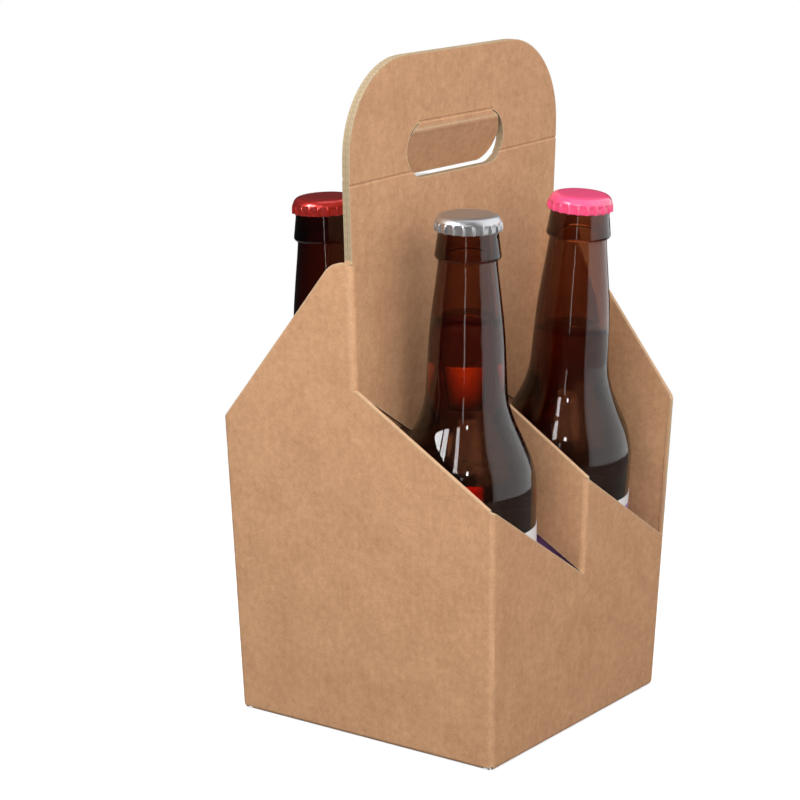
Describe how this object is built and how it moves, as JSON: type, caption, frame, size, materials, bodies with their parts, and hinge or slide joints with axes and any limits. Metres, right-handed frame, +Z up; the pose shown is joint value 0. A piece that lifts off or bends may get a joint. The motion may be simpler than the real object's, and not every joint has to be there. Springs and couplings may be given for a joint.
{
  "type": "bottle carrier box",
  "caption": "Folded kraft board bottle carrier with open sloping cells, a middle carry handle with a flapped hand hole, and capped amber bottles standing in it.",
  "frame": {"origin": "middle of the carton's footprint, on the surface that it stands on", "axes": "+Z up, +X to the right along the front wall and the handle, +Y to the back"},
  "size_m": [0.1574, 0.1418, 0.2936],
  "materials": {
    "kraft_board": "brown kraft liner, matte, with paler cut edges",
    "amber_glass": "glossy dark amber glass",
    "dark_beer": "clear dark amber liquid",
    "label_paper": "coated white paper with plain violet fields",
    "silver_cap": "satin silver lacquer on thin steel",
    "pink_cap": "glossy pink lacquer on thin steel",
    "red_cap": "dark red metallic lacquer on thin steel",
    "cap_liner": "pale sealing disc"
  },
  "bodies": {
    "pack": {"carton": "kraft_board", "front_left_glass": "amber_glass", "front_left_beer": "dark_beer", "front_left_label": "label_paper", "front_left_cap": "silver_cap", "front_left_cap_liner": "cap_liner", "front_right_glass": "amber_glass", "front_right_beer": "dark_beer", "front_right_label": "label_paper", "front_right_cap": "pink_cap", "front_right_cap_liner": "cap_liner", "back_left_glass": "amber_glass", "back_left_beer": "dark_beer", "back_left_label": "label_paper", "back_left_cap": "red_cap", "back_left_cap_liner": "cap_liner", "back_right_glass": "amber_glass", "back_right_beer": "dark_beer", "back_right_label": "label_paper", "back_right_cap": "silver_cap", "back_right_cap_liner": "cap_liner"},
    "flap": {"hand_flap": "kraft_board"}
  },
  "joints": [
    {"name": "hand_flap_hinge", "type": "hinge", "parent": "pack", "child": "flap", "pos_m": [0, 0.0018, 0.2613], "axis": [1, 0, 0], "range_deg": [-20, 70]}
  ]
}
